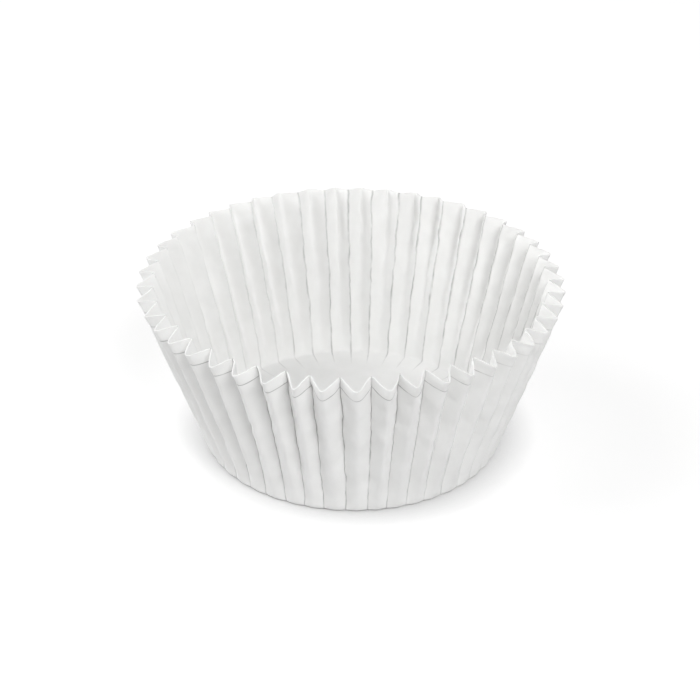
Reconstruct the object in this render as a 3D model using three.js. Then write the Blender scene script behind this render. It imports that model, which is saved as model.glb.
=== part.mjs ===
// Fluted paper candy cup, made from one uncut disc of thin white paper.
// The middle of the disc stays flat as the base. The rest is pressed up into a leaning wall, and
// the paper that a smooth cone would have left over is taken up by sharp radial pleats, which get
// deeper towards the rim. A short lip at the top flares out further than the wall.
// Millimetres, +Z up, with the origin in the middle of the underside of the base.

import * as THREE from "three";

// Driving sizes, in millimetres and degrees
const PAPER_THICKNESS = 0.1;
const BASE_DIAMETER = 31.75; // where the plane of the base and the line of the wall would meet
const BASE_BEND_RADIUS = 0.5; // middle of the paper, between base and wall
const WALL_LENGTH = 17.65; // measured on the paper, from the edge of the base to the foot of the lip
const WALL_LEAN = 18.8; // outer folds of the wall, away from upright
const LIP_LENGTH = 1.4; // measured on the paper
const LIP_LEAN = 24; // outer folds of the lip, away from upright
const PLEATS = 46;
const OUTER_FOLD_ROUNDNESS = 0.14; // as a share of a pleat: the outer folds are softly round
const INNER_FOLD_ROUNDNESS = 0.03; // and the inner ones nearly sharp

// How finely the sheet is divided
const BEND_STEPS = 2;
const WALL_STEPS = 5;
const WALL_STEP_GROWTH = 1.5; // above 1 sets the steps closer together near the base
const PLEAT_TURNS = [-0.18, -0.06, 0.06, 0.18, 0.47, 0.53]; // corners of a pleat, from its outer fold

const wallLean = THREE.MathUtils.degToRad(WALL_LEAN);
const lipLean = THREE.MathUtils.degToRad(LIP_LEAN);
const midHeight = PAPER_THICKNESS / 2;

// The path of an outer fold, seen from the side: x is the distance from the axis, y the height.
// Each stop also keeps its distance from the middle of the flat disc, measured on the paper.
function outerFoldPath() {
  const bendTurn = Math.PI / 2 - wallLean;
  const tangentLength = BASE_BEND_RADIUS * Math.tan(bendTurn / 2);
  const flatRadius = BASE_DIAMETER / 2 - tangentLength;
  const bendCentre = new THREE.Vector2(flatRadius, midHeight + BASE_BEND_RADIUS);
  const stops = [];
  for (let step = 0; step <= BEND_STEPS; step++) {
    const turn = (bendTurn * step) / BEND_STEPS;
    const fromCentre = new THREE.Vector2(Math.sin(turn), -Math.cos(turn)).multiplyScalar(BASE_BEND_RADIUS);
    stops.push({ at: fromCentre.add(bendCentre), onPaper: flatRadius + turn * BASE_BEND_RADIUS });
  }
  const wallFoot = stops[stops.length - 1];
  const alongWall = new THREE.Vector2(Math.sin(wallLean), Math.cos(wallLean));
  for (let step = 1; step <= WALL_STEPS; step++) {
    const length = (WALL_LENGTH - tangentLength) * (step / WALL_STEPS) ** WALL_STEP_GROWTH;
    stops.push({
      at: wallFoot.at.clone().addScaledVector(alongWall, length),
      onPaper: wallFoot.onPaper + length,
    });
  }
  const lipFoot = stops[stops.length - 1];
  const alongLip = new THREE.Vector2(Math.sin(lipLean), Math.cos(lipLean));
  stops.push({
    at: lipFoot.at.clone().addScaledVector(alongLip, LIP_LENGTH),
    onPaper: lipFoot.onPaper + LIP_LENGTH,
  });
  return stops;
}

// How deep the pleats are at one stop. The paper there was a circle on the flat disc, and it is as
// long as before: each pleat is a zigzag whose two faces use up that circle's share of length.
// The depth is the root of the quadratic that says so.
function pleatDepth(stop) {
  const faceShare = (PLEATS / Math.PI) ** 2;
  const inward = Math.cos(wallLean);
  const square = faceShare + inward ** 2 / 4;
  const linear = stop.at.x * inward;
  const spare = stop.onPaper ** 2 - stop.at.x ** 2;
  return (linear + Math.sqrt(linear ** 2 + 4 * square * spare)) / (2 * square);
}

// How far in the paper lies across a pleat, from 0 on the line of the outer fold to 1 on the line
// of the inner fold. The turn is a share of the pleat, measured from its outer fold.
function shareInward(turn) {
  const fromInnerFold = 0.5 - turn;
  const pastOuterFold = Math.hypot(turn, OUTER_FOLD_ROUNDNESS) - OUTER_FOLD_ROUNDNESS;
  const beforeInnerFold = Math.hypot(fromInnerFold, INNER_FOLD_ROUNDNESS) - INNER_FOLD_ROUNDNESS;
  return pastOuterFold / (pastOuterFold + beforeInnerFold);
}

// One ring of points on the middle of the paper. The inner folds are set off from the outer ones
// square to the wall, so both kinds of fold have the same length.
function ringOfPaper(stop, isPleated) {
  const depth = isPleated ? pleatDepth(stop) : 0;
  const ring = [];
  for (let pleat = 0; pleat < PLEATS; pleat++) {
    for (const turn of PLEAT_TURNS) {
      const angle = ((pleat + turn) / PLEATS) * 2 * Math.PI;
      const inset = depth * shareInward(Math.min(Math.abs(turn), 1 - turn));
      const radius = stop.at.x - inset * Math.cos(wallLean);
      const height = stop.at.y + inset * Math.sin(wallLean);
      ring.push(new THREE.Vector3(radius * Math.cos(angle), radius * Math.sin(angle), height));
    }
  }
  return ring;
}

// Directions square to the paper at each point of each ring, on the side that holds the sweet
function upperNormals(rings) {
  const columns = rings[0].length;
  return rings.map((ring, k) =>
    ring.map((point, j) => {
      if (k === 0) {
        return new THREE.Vector3(0, 0, 1); // still in the flat of the base
      }
      const below = rings[k - 1][j];
      const above = rings[Math.min(k + 1, rings.length - 1)][j];
      const upward = above.clone().sub(below);
      const around = ring[(j + 1) % columns].clone().sub(ring[(j + columns - 1) % columns]);
      return around.cross(upward).negate().normalize();
    })
  );
}

// The sheet as one closed solid: an under skin, an upper skin and the cut edge along the rim
function foldedSheet() {
  const stops = outerFoldPath();
  const rings = stops.map((stop, k) => ringOfPaper(stop, k > 0));
  const normals = upperNormals(rings);
  const columns = rings[0].length;
  const skinSize = 1 + rings.length * columns;
  const corners = [];
  for (const side of [-1, 1]) {
    corners.push(new THREE.Vector3(0, 0, midHeight + side * midHeight));
    rings.forEach((ring, k) => {
      ring.forEach((point, j) => {
        corners.push(point.clone().addScaledVector(normals[k][j], (side * PAPER_THICKNESS) / 2));
      });
    });
  }

  const under = (k, j) => 1 + k * columns + (j % columns);
  const upper = (k, j) => skinSize + under(k, j);
  const triangles = [];
  const last = rings.length - 1;
  for (let j = 0; j < columns; j++) {
    triangles.push(0, under(0, j + 1), under(0, j));
    triangles.push(skinSize, upper(0, j), upper(0, j + 1));
    for (let k = 0; k < last; k++) {
      triangles.push(under(k, j), under(k, j + 1), under(k + 1, j + 1));
      triangles.push(under(k, j), under(k + 1, j + 1), under(k + 1, j));
      triangles.push(upper(k, j), upper(k + 1, j + 1), upper(k, j + 1));
      triangles.push(upper(k, j), upper(k + 1, j), upper(k + 1, j + 1));
    }
    triangles.push(under(last, j), under(last, j + 1), upper(last, j + 1));
    triangles.push(under(last, j), upper(last, j + 1), upper(last, j));
  }

  const geometry = new THREE.BufferGeometry().setFromPoints(corners);
  geometry.setIndex(triangles);
  geometry.computeVertexNormals();
  return geometry;
}

const whitePaper = new THREE.MeshStandardMaterial({ color: 0xf4f4f2, roughness: 0.9, metalness: 0 });

const paperCup = new THREE.Mesh(foldedSheet(), whitePaper);
paperCup.name = "paper_cup";

const candyCup = new THREE.Group();
candyCup.add(paperCup);

export default candyCup;
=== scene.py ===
import math

import bpy
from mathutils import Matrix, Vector


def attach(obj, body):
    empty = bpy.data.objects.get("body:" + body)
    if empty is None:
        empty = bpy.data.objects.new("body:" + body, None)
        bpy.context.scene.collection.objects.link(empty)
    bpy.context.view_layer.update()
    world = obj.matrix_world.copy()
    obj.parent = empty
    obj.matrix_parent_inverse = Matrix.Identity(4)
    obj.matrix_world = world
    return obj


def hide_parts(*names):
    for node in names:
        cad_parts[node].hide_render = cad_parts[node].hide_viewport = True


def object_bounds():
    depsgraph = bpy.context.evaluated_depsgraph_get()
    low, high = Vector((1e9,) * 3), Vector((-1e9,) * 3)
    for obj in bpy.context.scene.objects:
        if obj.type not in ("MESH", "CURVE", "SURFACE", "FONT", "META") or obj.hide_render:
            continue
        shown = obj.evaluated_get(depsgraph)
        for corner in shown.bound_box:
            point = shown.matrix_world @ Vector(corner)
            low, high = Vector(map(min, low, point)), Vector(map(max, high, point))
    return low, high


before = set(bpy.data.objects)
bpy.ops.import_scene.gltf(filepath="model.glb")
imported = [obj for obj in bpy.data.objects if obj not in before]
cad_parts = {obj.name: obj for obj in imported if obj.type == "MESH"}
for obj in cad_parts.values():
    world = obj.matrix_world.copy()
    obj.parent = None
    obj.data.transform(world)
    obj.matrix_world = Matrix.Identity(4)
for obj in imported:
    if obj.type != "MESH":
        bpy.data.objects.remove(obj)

cad_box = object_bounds()


# Camera
# A moderately long lens, close above the cup and about 31 degrees above the floor, so the inside
# of the far wall, a strip of the base and the outside of the near wall all show.
MM = 0.001
IMAGE_SIZE = 700  # pixels, both ways
FOCAL_PIXELS = 1809  # pixels of the picture for one unit sideways at one unit away
SENSOR_WIDTH = 36
CAMERA_ELEVATION = 30.65  # degrees
CAMERA_TURN = -3.29  # degrees round the cup, from straight in front
CAMERA_ROLL = 0.6  # degrees
CAMERA_DISTANCE = 191.7 * MM
CLIP_START = 10 * MM
AIM_HEIGHT = 9.5 * MM
AXIS_PIXELS = (353.2, 350.8)  # where the aim point lies in the picture

elevation = math.radians(CAMERA_ELEVATION)
camera_turn = math.radians(CAMERA_TURN)
level = math.cos(elevation)
backward = Vector(
    (level * math.sin(camera_turn), -level * math.cos(camera_turn), math.sin(elevation))
)
camera_data = bpy.data.cameras.new("camera")
camera_data.sensor_width = SENSOR_WIDTH
camera_data.lens = SENSOR_WIDTH * FOCAL_PIXELS / IMAGE_SIZE
camera_data.shift_x = (IMAGE_SIZE / 2 - AXIS_PIXELS[0]) / IMAGE_SIZE
camera_data.shift_y = (AXIS_PIXELS[1] - IMAGE_SIZE / 2) / IMAGE_SIZE
camera_data.clip_start = CLIP_START
camera = bpy.data.objects.new("camera", camera_data)
camera.location = Vector((0, 0, AIM_HEIGHT)) + backward * CAMERA_DISTANCE
camera.rotation_euler = (math.pi / 2 - elevation, 0, camera_turn)
camera.rotation_euler.rotate_axis("Z", math.radians(CAMERA_ROLL))
bpy.context.scene.collection.objects.link(camera)
bpy.context.scene.camera = camera
bpy.context.scene.view_settings.view_transform = "Standard"


# Paper cup
# One uncut disc of thin white greaseproof paper. Fluted dies press it while its middle stays flat,
# so the wall stands up in pleats that get deeper towards the rim, where a short lip flares out.
# Hands and the stack bend it a little: no two pleats are quite alike, and the folds waver.
PAPER_THICKNESS = 0.1 * MM
BASE_RADIUS = 15.875 * MM
BEND_RADIUS = 0.5 * MM
WALL_LENGTH = 17.65 * MM
WALL_LEAN = math.radians(18.8)
LIP_LENGTH = 1.4 * MM
LIP_LEAN = math.radians(24)
PLEATS = 46
COLUMNS_PER_PLEAT = 20
BASE_ROWS = 6
BEND_ROWS = 4
WALL_ROWS = 34
LIP_ROWS = 6
OUTER_FOLD_ROUNDNESS = 0.14  # as a share of a pleat
INNER_FOLD_ROUNDNESS = 0.015
OUTER_FOLD_TIGHTENING = -0.06  # change of roundness up to the lip's free edge
INNER_FOLD_OPENING = 0.075
CROWDING = 0.33  # in pleats: how far the folds have slid round, away from an even spacing
CROWDING_TURN = math.radians(235)
NOISE_CYLINDER_RADIUS = 20.075 * MM  # about as wide as the cup
NOISE_FLATTENING = 0.12  # noise that changes slowly along a pleat
WIDTH_PATCH = 4.5 * MM
WAVER_PATCH = 2.4 * MM
KINK_PATCH = 1.0 * MM
DEPTH_PATCH = 3.5 * MM
DEPTH_SEED_STEP = 7.0
CRUMPLE_PATCH = 2.2 * MM
CRUMPLE_FOOT = 1.0 * MM  # the height where the crumples start
CRUMPLE_TOP = 5 * MM  # and where they have their full depth
WELD_DISTANCE = 0.001 * MM
SHARP_ANGLE = math.radians(50)

cup_height = cad_box[1][2] - cad_box[0][2]
bend_turn = math.pi / 2 - WALL_LEAN
bend_tangent = BEND_RADIUS * math.tan(bend_turn / 2)


def add_node(tree, kind, values=None, **settings):
    """Adds a node. Values are numbers, sockets, or nodes for their first output."""
    node = tree.nodes.new(kind)
    for name, setting in settings.items():
        setattr(node, name, setting)
    for socket, value in (values or {}).items():
        if isinstance(value, bpy.types.Node):
            value = value.outputs[0]
        if isinstance(value, bpy.types.NodeSocket):
            tree.links.new(value, node.inputs[socket])
        else:
            node.inputs[socket].default_value = value
    return node


tree = bpy.data.node_groups.new("pleated_cup", "GeometryNodeTree")
tree.interface.new_socket("Geometry", in_out="OUTPUT", socket_type="NodeSocketGeometry")
cup_inputs = {
    "Pleats": ("NodeSocketInt", PLEATS),
    "Columns per Pleat": ("NodeSocketInt", COLUMNS_PER_PLEAT),
    "Flat Radius": ("NodeSocketFloat", BASE_RADIUS - bend_tangent),
    "Bend Radius": ("NodeSocketFloat", BEND_RADIUS),
    "Bend Turn": ("NodeSocketFloat", bend_turn),
    "Wall Length": ("NodeSocketFloat", WALL_LENGTH - bend_tangent),
    "Wall Lean": ("NodeSocketFloat", WALL_LEAN),
    "Lip Length": ("NodeSocketFloat", LIP_LENGTH),
    "Lip Lean": ("NodeSocketFloat", LIP_LEAN),
    "Base Height": ("NodeSocketFloat", PAPER_THICKNESS / 2),
    "Outer Roundness": ("NodeSocketFloat", OUTER_FOLD_ROUNDNESS),
    "Inner Roundness": ("NodeSocketFloat", INNER_FOLD_ROUNDNESS),
    "Crowding": ("NodeSocketFloat", CROWDING),
    "Uneven Width": ("NodeSocketFloat", 0.16),
    "Uneven Depth": ("NodeSocketFloat", 0.12),
    "Waver": ("NodeSocketFloat", 0.05),
    "Kinks": ("NodeSocketFloat", 0.045),
    "Crumple": ("NodeSocketFloat", 0.12 * MM),
    "Sway": ("NodeSocketVector", (-0.35 * MM, 0.02 * MM, 0)),
    "Seed": ("NodeSocketFloat", 3.0),
    "Paper": ("NodeSocketMaterial", None),
}
for name, (kind, value) in cup_inputs.items():
    tree.interface.new_socket(name, in_out="INPUT", socket_type=kind)
given = add_node(tree, "NodeGroupInput").outputs

# A grid holds the sheet: X goes round the cup, Y from the middle of the base to the rim
rows = BASE_ROWS + BEND_ROWS + WALL_ROWS + LIP_ROWS
columns = add_node(
    tree,
    "ShaderNodeMath",
    {0: given["Pleats"], 1: given["Columns per Pleat"]},
    operation="MULTIPLY",
)
grid_width = add_node(tree, "ShaderNodeMath", {0: columns, 1: 1.0}, operation="ADD")
grid = add_node(
    tree,
    "GeometryNodeMeshGrid",
    {"Size X": 1.0, "Size Y": 1.0, "Vertices X": grid_width, "Vertices Y": rows + 1},
)
grid_place = add_node(
    tree, "ShaderNodeSeparateXYZ", {0: add_node(tree, "GeometryNodeInputPosition")}
)
around = add_node(tree, "ShaderNodeMath", {0: grid_place.outputs["X"], 1: 0.5}, operation="ADD")
row = add_node(
    tree,
    "ShaderNodeMath",
    {0: grid_place.outputs["Y"], 1: rows, 2: rows / 2},
    operation="MULTIPLY_ADD",
)

# Lengths on the paper that a row has passed in each stretch of the cup's side
bend_length = add_node(
    tree,
    "ShaderNodeMath",
    {0: given["Bend Radius"], 1: given["Bend Turn"]},
    operation="MULTIPLY",
)
stretches = []
row_reached = 0
for row_count, length in (
    (BASE_ROWS, given["Flat Radius"]),
    (BEND_ROWS, bend_length),
    (WALL_ROWS, given["Wall Length"]),
    (LIP_ROWS, given["Lip Length"]),
):
    stretches.append(
        add_node(
            tree,
            "ShaderNodeMapRange",
            {
                "Value": row,
                "From Min": row_reached,
                "From Max": row_reached + row_count,
                "To Min": 0.0,
                "To Max": length,
            },
        )
    )
    row_reached += row_count
on_base, on_bend, on_wall, on_lip = stretches
on_paper = on_base
for stretch in (on_bend, on_wall, on_lip):
    on_paper = add_node(tree, "ShaderNodeMath", {0: on_paper, 1: stretch}, operation="ADD")

# The line of an outer fold in the XZ plane: flat base, round bend, straight wall, straight lip
turned = add_node(
    tree, "ShaderNodeMath", {0: on_bend, 1: given["Bend Radius"]}, operation="DIVIDE"
)
bend_back = add_node(tree, "ShaderNodeMath", {0: turned, 1: -1.0}, operation="MULTIPLY")
bend_down = add_node(
    tree, "ShaderNodeMath", {0: given["Bend Radius"], 1: -1.0}, operation="MULTIPLY"
)
bend_point = add_node(
    tree,
    "ShaderNodeVectorRotate",
    {"Vector": add_node(tree, "ShaderNodeCombineXYZ", {"Z": bend_down}), "Angle": bend_back},
    rotation_type="Y_AXIS",
)
bend_height = add_node(
    tree, "ShaderNodeMath", {0: given["Bend Radius"], 1: given["Base Height"]}, operation="ADD"
)
bend_centre = add_node(tree, "ShaderNodeCombineXYZ", {"X": on_base, "Z": bend_height})
outer_line = add_node(
    tree, "ShaderNodeVectorMath", {0: bend_centre, 1: bend_point}, operation="ADD"
)
for lean, stretch in ((given["Wall Lean"], on_wall), (given["Lip Lean"], on_lip)):
    way = add_node(
        tree, "ShaderNodeVectorRotate", {"Vector": (0, 0, 1), "Angle": lean}, rotation_type="Y_AXIS"
    )
    outer_line = add_node(
        tree, "ShaderNodeVectorMath", {0: way, 1: stretch, 2: outer_line}, operation="MULTIPLY_ADD"
    )
radius = add_node(tree, "ShaderNodeSeparateXYZ", {0: outer_line}).outputs["X"]

# Depth of the pleats: a ring of the flat disc keeps its length, so the zigzag takes up the spare.
# It is the root of a quadratic.
inward = add_node(tree, "ShaderNodeMath", {0: given["Wall Lean"]}, operation="COSINE")
linear = add_node(tree, "ShaderNodeMath", {0: radius, 1: inward}, operation="MULTIPLY")
face_share = add_node(
    tree, "ShaderNodeMath", {0: given["Pleats"], 1: math.pi}, operation="DIVIDE"
)
square = add_node(tree, "ShaderNodeMath", {0: face_share, 1: face_share}, operation="MULTIPLY")
longer = add_node(tree, "ShaderNodeMath", {0: on_paper, 1: radius}, operation="ADD")
shorter = add_node(tree, "ShaderNodeMath", {0: on_paper, 1: radius}, operation="SUBTRACT")
spare = add_node(tree, "ShaderNodeMath", {0: longer, 1: shorter}, operation="MULTIPLY")
constant = add_node(tree, "ShaderNodeMath", {0: spare, 1: 4.0}, operation="MULTIPLY")
constant = add_node(tree, "ShaderNodeMath", {0: constant, 1: square}, operation="MULTIPLY")
under_root = add_node(
    tree, "ShaderNodeMath", {0: linear, 1: linear, 2: constant}, operation="MULTIPLY_ADD"
)
root = add_node(tree, "ShaderNodeMath", {0: under_root}, operation="SQRT")
above = add_node(tree, "ShaderNodeMath", {0: root, 1: linear}, operation="ADD")
below = add_node(tree, "ShaderNodeMath", {0: square, 1: 2.0}, operation="MULTIPLY")
full_depth = add_node(tree, "ShaderNodeMath", {0: above, 1: below}, operation="DIVIDE")
is_pleated = add_node(
    tree, "ShaderNodeMath", {0: row, 1: BASE_ROWS + 0.5}, operation="GREATER_THAN"
)
full_depth = add_node(
    tree, "ShaderNodeMath", {0: full_depth, 1: is_pleated}, operation="MULTIPLY"
)

# Noise is read on a cylinder, so that it runs on across the sheet's seam
angle = add_node(tree, "ShaderNodeMath", {0: around, 1: 2 * math.pi}, operation="MULTIPLY")
cylinder = add_node(
    tree,
    "ShaderNodeVectorRotate",
    {
        "Vector": add_node(
            tree, "ShaderNodeCombineXYZ", {"X": NOISE_CYLINDER_RADIUS, "Z": on_paper}
        ),
        "Angle": angle,
    },
    rotation_type="Z_AXIS",
)
flattened = add_node(
    tree,
    "ShaderNodeVectorMath",
    {0: cylinder, 1: (1, 1, NOISE_FLATTENING)},
    operation="MULTIPLY",
)
depth_seed = add_node(
    tree, "ShaderNodeMath", {0: given["Seed"], 1: DEPTH_SEED_STEP}, operation="ADD"
)
noises = []
for place, seed, patch, detail in (
    (flattened, given["Seed"], WIDTH_PATCH, 0.0),
    (cylinder, given["Seed"], WAVER_PATCH, 1.0),
    (cylinder, given["Seed"], KINK_PATCH, 0.0),
    (flattened, depth_seed, DEPTH_PATCH, 0.0),
):
    noises.append(
        add_node(
            tree,
            "ShaderNodeTexNoise",
            {"Vector": place, "W": seed, "Scale": 1 / patch, "Detail": detail},
            noise_dimensions="4D",
            normalize=False,
        )
    )
width_noise, waver_noise, kink_noise, depth_noise = noises

# Where a point lies across its pleat: 0 on the line of the outer fold, 1 on the inner fold.
# At the free edge of the lip the outer folds tighten and the inner ones spring open.
phase = add_node(tree, "ShaderNodeMath", {0: around, 1: given["Pleats"]}, operation="MULTIPLY")
from_outer = add_node(tree, "ShaderNodeMath", {0: phase, 1: 0.5}, operation="PINGPONG")
from_inner = add_node(tree, "ShaderNodeMath", {0: 0.5, 1: from_outer}, operation="SUBTRACT")
up_lip = add_node(
    tree, "ShaderNodeMath", {0: on_lip, 1: given["Lip Length"]}, operation="DIVIDE"
)
rounded = []
for distance, start, change in (
    (from_outer, given["Outer Roundness"], OUTER_FOLD_TIGHTENING),
    (from_inner, given["Inner Roundness"], INNER_FOLD_OPENING),
):
    roundness = add_node(
        tree, "ShaderNodeMath", {0: up_lip, 1: change, 2: start}, operation="MULTIPLY_ADD"
    )
    soft = add_node(
        tree, "ShaderNodeMath", {0: roundness, 1: roundness}, operation="MULTIPLY"
    )
    soft = add_node(
        tree, "ShaderNodeMath", {0: distance, 1: distance, 2: soft}, operation="MULTIPLY_ADD"
    )
    soft = add_node(tree, "ShaderNodeMath", {0: soft}, operation="SQRT")
    soft = add_node(tree, "ShaderNodeMath", {0: soft, 1: roundness}, operation="SUBTRACT")
    rounded.append(soft)
past_outer, before_inner = rounded
both = add_node(tree, "ShaderNodeMath", {0: past_outer, 1: before_inner}, operation="ADD")
share_in = add_node(tree, "ShaderNodeMath", {0: past_outer, 1: both}, operation="DIVIDE")

# The point is set in from the outer line, square to the wall, and then turned round the axis
uneven = add_node(
    tree,
    "ShaderNodeMath",
    {0: depth_noise, 1: given["Uneven Depth"], 2: 1.0},
    operation="MULTIPLY_ADD",
)
depth = add_node(tree, "ShaderNodeMath", {0: full_depth, 1: uneven}, operation="MULTIPLY")
inset = add_node(tree, "ShaderNodeMath", {0: depth, 1: share_in}, operation="MULTIPLY")
square_to_wall = add_node(
    tree,
    "ShaderNodeVectorRotate",
    {"Vector": (-1, 0, 0), "Angle": given["Wall Lean"]},
    rotation_type="Y_AXIS",
)
section = add_node(
    tree,
    "ShaderNodeVectorMath",
    {0: square_to_wall, 1: inset, 2: outer_line},
    operation="MULTIPLY_ADD",
)
crowd_turn = add_node(tree, "ShaderNodeMath", {0: angle, 1: CROWDING_TURN}, operation="SUBTRACT")
crowd = add_node(tree, "ShaderNodeMath", {0: crowd_turn}, operation="COSINE")
slid = 0.0
for amount, cause in (
    (given["Uneven Width"], width_noise),
    (given["Waver"], waver_noise),
    (given["Kinks"], kink_noise),
    (given["Crowding"], crowd),
):
    slid = add_node(
        tree, "ShaderNodeMath", {0: cause, 1: amount, 2: slid}, operation="MULTIPLY_ADD"
    )
slid = add_node(tree, "ShaderNodeMath", {0: slid, 1: given["Pleats"]}, operation="DIVIDE")
full_turn = add_node(
    tree, "ShaderNodeMath", {0: slid, 1: 2 * math.pi, 2: angle}, operation="MULTIPLY_ADD"
)
spot = add_node(
    tree, "ShaderNodeVectorRotate", {"Vector": section, "Angle": full_turn}, rotation_type="Z_AXIS"
)

# Each point keeps its distances from the creases, along which the paper's material paints shade
pleat_width = add_node(
    tree, "ShaderNodeMath", {0: radius, 1: 2 * math.pi / PLEATS}, operation="MULTIPLY"
)
from_crease = add_node(
    tree, "ShaderNodeMath", {0: pleat_width, 1: from_inner}, operation="MULTIPLY"
)
shape = grid
for name, value in (("from_inner_fold", from_crease), ("on_paper", on_paper)):
    shape = add_node(
        tree,
        "GeometryNodeStoreNamedAttribute",
        {"Geometry": shape, "Name": name, "Value": value},
        data_type="FLOAT",
    )
shape = add_node(tree, "GeometryNodeSetPosition", {"Geometry": shape, "Position": spot})
shape = add_node(
    tree, "GeometryNodeMergeByDistance", {"Geometry": shape, "Distance": WELD_DISTANCE}
)

# Slight crumples square to the paper, and the sway of the whole wall to one side
position = add_node(tree, "GeometryNodeInputPosition")
height = add_node(tree, "ShaderNodeSeparateXYZ", {0: position}).outputs["Z"]
crumple_noise = add_node(
    tree,
    "ShaderNodeTexNoise",
    {"Vector": position, "W": given["Seed"], "Scale": 1 / CRUMPLE_PATCH, "Detail": 1.0},
    noise_dimensions="4D",
    normalize=False,
)
crumple = add_node(
    tree,
    "ShaderNodeMapRange",
    {
        "Value": height,
        "From Min": CRUMPLE_FOOT,
        "From Max": CRUMPLE_TOP,
        "To Min": 0.0,
        "To Max": given["Crumple"],
    },
)
crumple = add_node(tree, "ShaderNodeMath", {0: crumple_noise, 1: crumple}, operation="MULTIPLY")
crumple = add_node(
    tree,
    "ShaderNodeVectorMath",
    {0: add_node(tree, "GeometryNodeInputNormal"), "Scale": crumple},
    operation="SCALE",
)
risen = add_node(tree, "ShaderNodeMath", {0: height, 1: cup_height}, operation="DIVIDE")
risen = add_node(tree, "ShaderNodeMath", {0: risen, 1: risen}, operation="MULTIPLY")
sway = add_node(
    tree, "ShaderNodeVectorMath", {0: given["Sway"], "Scale": risen}, operation="SCALE"
)
offset = add_node(tree, "ShaderNodeVectorMath", {0: crumple, 1: sway}, operation="ADD")
shape = add_node(tree, "GeometryNodeSetPosition", {"Geometry": shape, "Offset": offset})
shape = add_node(tree, "GeometryNodeRealizeInstances", {"Geometry": shape})
shape = add_node(
    tree, "GeometryNodeSetMaterial", {"Geometry": shape, "Material": given["Paper"]}
)
add_node(tree, "NodeGroupOutput", {"Geometry": shape})


def linear_colour(code):
    """An sRGB hex colour as a linear RGBA tuple."""
    channels = [int(code[k : k + 2], 16) / 255 for k in (1, 3, 5)]
    return (
        *[c / 12.92 if c <= 0.04045 else ((c + 0.055) / 1.055) ** 2.4 for c in channels],
        1.0,
    )


# Greaseproof paper, calendered: white and matt, and thin enough to let some light through. Fibres
# lie every way in it. Along the creases its colour is painted a darker grey as painted shade in the
# folds.
FIBRE_LENGTH = 0.9 * MM
FIBRE_RELIEF = 0.06 * MM
CLOUD_SIZE = 2.5 * MM
CREASE_WIDTH = 0.13 * MM
CREASE_PATCH = 1.6 * MM
PLEAT_FOOT = 3.0 * MM  # how far the creases run in over the base before they fade out
# Painted shadow: a dark line on the outside along the lip's foot, where shade falls under the
# flared lip
LIP_SHADOW_WIDTH = 0.7 * CREASE_WIDTH
LIP_SHADOW_STRENGTH = 1.7
LIP_FOOT = BASE_RADIUS - bend_tangent + BEND_RADIUS * bend_turn + WALL_LENGTH - bend_tangent

paper = bpy.data.materials.new("white_greaseproof_paper")
paper.use_nodes = True
sheet = paper.node_tree
shader = sheet.nodes["Principled BSDF"]
for name, value in {
    "Roughness": 0.75,
    "Specular IOR Level": 0.3,
    "Subsurface Weight": 1.0,
    "Subsurface Radius": (1, 1, 1),
    "Subsurface Scale": 0.05 * MM,
}.items():
    shader.inputs[name].default_value = value
where = add_node(sheet, "ShaderNodeTexCoord").outputs["Object"]
cloud = add_node(
    sheet, "ShaderNodeTexNoise", {"Vector": where, "Scale": 1 / CLOUD_SIZE, "Detail": 3.0}
).outputs["Fac"]
tone = add_node(sheet, "ShaderNodeMapRange", {"Value": cloud, "From Min": 0.3, "From Max": 0.7})
plain = add_node(
    sheet,
    "ShaderNodeMix",
    {0: tone, 6: linear_colour("#F1F1F0"), 7: linear_colour("#F6F6F5")},
    data_type="RGBA",
).outputs[2]

# Painted shade: grey lines along each inner fold, and on the outside a painted shadow line along
# the foot of the lip
from_fold = add_node(
    sheet, "ShaderNodeAttribute", attribute_name="from_inner_fold"
).outputs["Fac"]
along = add_node(sheet, "ShaderNodeAttribute", attribute_name="on_paper").outputs["Fac"]
from_lip_foot = add_node(sheet, "ShaderNodeMath", {0: along, 1: LIP_FOOT}, operation="SUBTRACT")
from_lip_foot = add_node(sheet, "ShaderNodeMath", {0: from_lip_foot}, operation="ABSOLUTE")
outward = add_node(
    sheet, "ShaderNodeVectorMath", {0: where, 1: (1, 1, 0)}, operation="MULTIPLY"
)
facing = add_node(
    sheet,
    "ShaderNodeVectorMath",
    {0: add_node(sheet, "ShaderNodeNewGeometry").outputs["Normal"], 1: outward},
    operation="DOT_PRODUCT",
).outputs["Value"]
is_outside = add_node(sheet, "ShaderNodeMath", {0: facing, 1: 0.0}, operation="GREATER_THAN")
# The painted shadow line under the lip is drawn on the outside only
lip_shade_strength = add_node(
    sheet, "ShaderNodeMath", {0: is_outside, 1: LIP_SHADOW_STRENGTH}, operation="MULTIPLY"
)
painted_shade_marks = []
for distance, width, strength in (
    (from_fold, CREASE_WIDTH, 1.0),
    (from_lip_foot, LIP_SHADOW_WIDTH, lip_shade_strength),
):
    painted_shade_marks.append(
        add_node(
            sheet,
            "ShaderNodeMapRange",
            {
                "Value": distance,
                "From Min": 0.0,
                "From Max": width,
                "To Min": strength,
                "To Max": 0.0,
            },
            interpolation_type="SMOOTHSTEP",
        )
    )
crease_and_painted_shade = add_node(sheet, "ShaderNodeMath", {0: painted_shade_marks[0], 1: painted_shade_marks[1]}, operation="MAXIMUM")
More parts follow.
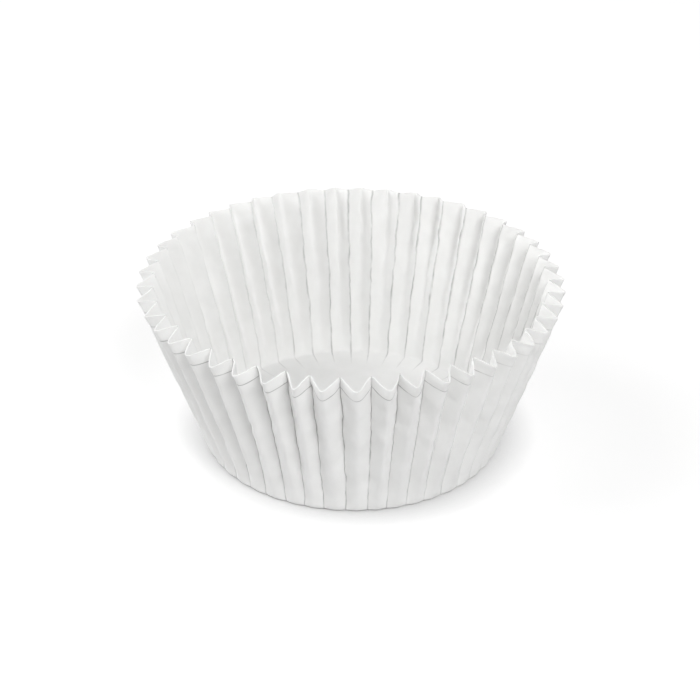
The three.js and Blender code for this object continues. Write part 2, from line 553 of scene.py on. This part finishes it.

# They fade out over the base and come and go along their length. As painted shade they are
# strongest on the inside of the cup's right and on the outside of its left, where the light leaves
# the folds darker.
off_base = add_node(
    sheet,
    "ShaderNodeMapRange",
    {"Value": along, "From Min": BASE_RADIUS - PLEAT_FOOT, "From Max": BASE_RADIUS},
)
patchy = add_node(
    sheet, "ShaderNodeTexNoise", {"Vector": where, "Scale": 1 / CREASE_PATCH, "Detail": 2.0}
).outputs["Fac"]
side = add_node(sheet, "ShaderNodeSeparateXYZ", {0: where}).outputs["X"]
fades = []
for value, low, high, at_low, at_high in (
    (patchy, 0.32, 0.62, 0.35, 1.0),
    (side, -14 * MM, -2 * MM, 0.2, 1.0),
    (side, 2 * MM, 14 * MM, 1.0, 0.3),
):
    fades.append(
        add_node(
            sheet,
            "ShaderNodeMapRange",
            {
                "Value": value,
                "From Min": low,
                "From Max": high,
                "To Min": at_low,
                "To Max": at_high,
            },
        )
    )
patch_fade, inside_side_shading, outside_side_shading = fades
# Painted shade: the crease darkening is weakened on whichever side the light reaches the folds
side_shading = add_node(
    sheet, "ShaderNodeMix", {0: is_outside, 2: inside_side_shading, 3: outside_side_shading}
)
for fade in (patch_fade, side_shading, off_base):
    crease_and_painted_shade = add_node(sheet, "ShaderNodeMath", {0: crease_and_painted_shade, 1: fade}, operation="MULTIPLY")
# Painted shade: the paper's colour is mixed toward grey #C2C2C1 wherever the crease marks lie
paper_with_painted_shade = add_node(
    sheet, "ShaderNodeMix", {0: crease_and_painted_shade, 6: plain, 7: linear_colour("#C2C2C1")}, data_type="RGBA"
)
sheet.links.new(paper_with_painted_shade.outputs[2], shader.inputs["Base Color"])

fibres = add_node(
    sheet,
    "ShaderNodeTexNoise",
    {
        "Vector": where,
        "Scale": 1 / FIBRE_LENGTH,
        "Detail": 5.0,
        "Roughness": 0.62,
        "Distortion": 1.2,
    },
).outputs["Fac"]
relief = add_node(
    sheet, "ShaderNodeMath", {0: crease_and_painted_shade, 1: -0.6, 2: fibres}, operation="MULTIPLY_ADD"
)
bump = add_node(
    sheet, "ShaderNodeBump", {"Height": relief, "Strength": 0.35, "Distance": FIBRE_RELIEF}
)
sheet.links.new(bump.outputs["Normal"], shader.inputs["Normal"])

carrier = bpy.data.objects.new("cup_carrier", bpy.data.meshes.new("cup_carrier"))
bpy.context.scene.collection.objects.link(carrier)
maker = carrier.modifiers.new("pleats", "NODES")
maker.node_group = tree
for item in tree.interface.items_tree:
    if item.in_out == "INPUT":
        maker[item.identifier] = paper if item.name == "Paper" else cup_inputs[item.name][1]
wall = carrier.modifiers.new("thickness", "SOLIDIFY")
wall.thickness = PAPER_THICKNESS
wall.offset = 0
wall.use_quality_normals = True
depsgraph = bpy.context.evaluated_depsgraph_get()
cup_mesh = bpy.data.meshes.new_from_object(carrier.evaluated_get(depsgraph), depsgraph=depsgraph)
bpy.data.objects.remove(carrier)
cup_mesh.name = "pleated_paper_cup"
cup_mesh.shade_smooth()
cup_mesh.set_sharp_from_angle(angle=SHARP_ANGLE)
cup = bpy.data.objects.new("pleated_paper_cup", cup_mesh)
bpy.context.scene.collection.objects.link(cup)

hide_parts("paper_cup")
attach(cup, "root")


# Floor
# A plain white sweep, larger than any view of the cup, which keeps the cup's soft contact shadow.
# Near the cup its glow is also dimmed, a painted contact shadow.
FLOOR_SIZE = 4.0
FLOOR_DROP = 0.02 * MM  # below the cup, so the two don't touch
FLOOR_GLOW = 0.574
# Painted contact shadow: within this reach the floor's glow is dimmed near the cup
CONTACT_REACH = 4 * MM  # how far from the cup the floor's own glow is dimmed


def seen_directly(tree):
    """A node that is 1 for rays that reach the camera straight, mirrored or through a pane."""
    rays = add_node(tree, "ShaderNodeLightPath").outputs
    seen = rays["Is Camera Ray"]
    for kind in ("Is Glossy Ray", "Is Transmission Ray"):
        seen = add_node(tree, "ShaderNodeMath", {0: seen, 1: rays[kind]}, operation="MAXIMUM")
    return seen


half = FLOOR_SIZE / 2
floor_mesh = bpy.data.meshes.new("floor")
floor_corners = [(-half, -half, 0), (half, -half, 0), (half, half, 0), (-half, half, 0)]
floor_mesh.from_pydata(floor_corners, [], [(0, 1, 2, 3)])
floor = bpy.data.objects.new("floor", floor_mesh)
floor.location.z = -FLOOR_DROP
bpy.context.scene.collection.objects.link(floor)
floor_paint = bpy.data.materials.new("matt_white_paint")
floor_paint.use_nodes = True
floor_tree = floor_paint.node_tree
floor_shader = floor_tree.nodes["Principled BSDF"]
for name, value in {
    "Base Color": linear_colour("#C4C4C4"),
    "Roughness": 1.0,
    "Specular IOR Level": 0.0,
    "Emission Color": (1, 1, 1, 1),
}.items():
    floor_shader.inputs[name].default_value = value
# Painted contact shadow: ambient occlusion dims the floor's glow near the cup
contact_shade_factor = add_node(
    floor_tree, "ShaderNodeAmbientOcclusion", {"Distance": CONTACT_REACH}, samples=4
).outputs["AO"]
glow = seen_directly(floor_tree)
for factor in (contact_shade_factor, FLOOR_GLOW):
    glow = add_node(floor_tree, "ShaderNodeMath", {0: glow, 1: factor}, operation="MULTIPLY")
floor_tree.links.new(glow.outputs[0], floor_shader.inputs["Emission Strength"])
floor_mesh.materials.append(floor_paint)


# Light
# A white tent all round that is open overhead, one large soft box high in front on the right,
# which lets each pleat shade the next, and a larger, weaker one on the left for the inside.
TENT_STRENGTH_LOW = 1.21  # at the height of the cup
TENT_STRENGTH_HIGH = 0.0  # overhead
BACKDROP_STRENGTH = 1.0
world = bpy.data.worlds.new("white_tent")
world.use_nodes = True
bpy.context.scene.world = world
sky = world.node_tree
background = sky.nodes["Background"]
background.inputs["Color"].default_value = (1, 1, 1, 1)
ray_way = add_node(
    sky,
    "ShaderNodeSeparateXYZ",
    {0: add_node(sky, "ShaderNodeNewGeometry").outputs["Incoming"]},
)
steepness = add_node(sky, "ShaderNodeMath", {0: ray_way.outputs["Z"]}, operation="ABSOLUTE")
tent = add_node(
    sky,
    "ShaderNodeMapRange",
    {"Value": steepness, "To Min": TENT_STRENGTH_LOW, "To Max": TENT_STRENGTH_HIGH},
)
strength = add_node(
    sky,
    "ShaderNodeMapRange",
    {"Value": seen_directly(sky), "To Min": tent, "To Max": BACKDROP_STRENGTH},
)
sky.links.new(strength.outputs[0], background.inputs["Strength"])


def soft_box(name, place, size, power, aim=(0, 0, 0.01)):
    """A square area lamp that faces the cup."""
    data = bpy.data.lights.new(name, "AREA")
    data.shape = "SQUARE"
    data.size = size
    data.energy = power
    lamp = bpy.data.objects.new(name, data)
    lamp.location = place
    lamp.rotation_euler = (Vector(place) - Vector(aim)).to_track_quat("Z", "Y").to_euler()
    bpy.context.scene.collection.objects.link(lamp)


soft_box("key_soft_box", place=(0.148, -0.389, 0.42), size=0.22, power=1.44)
soft_box("fill_soft_box", place=(-0.418, 0.044, 0.34), size=0.40, power=1.34)
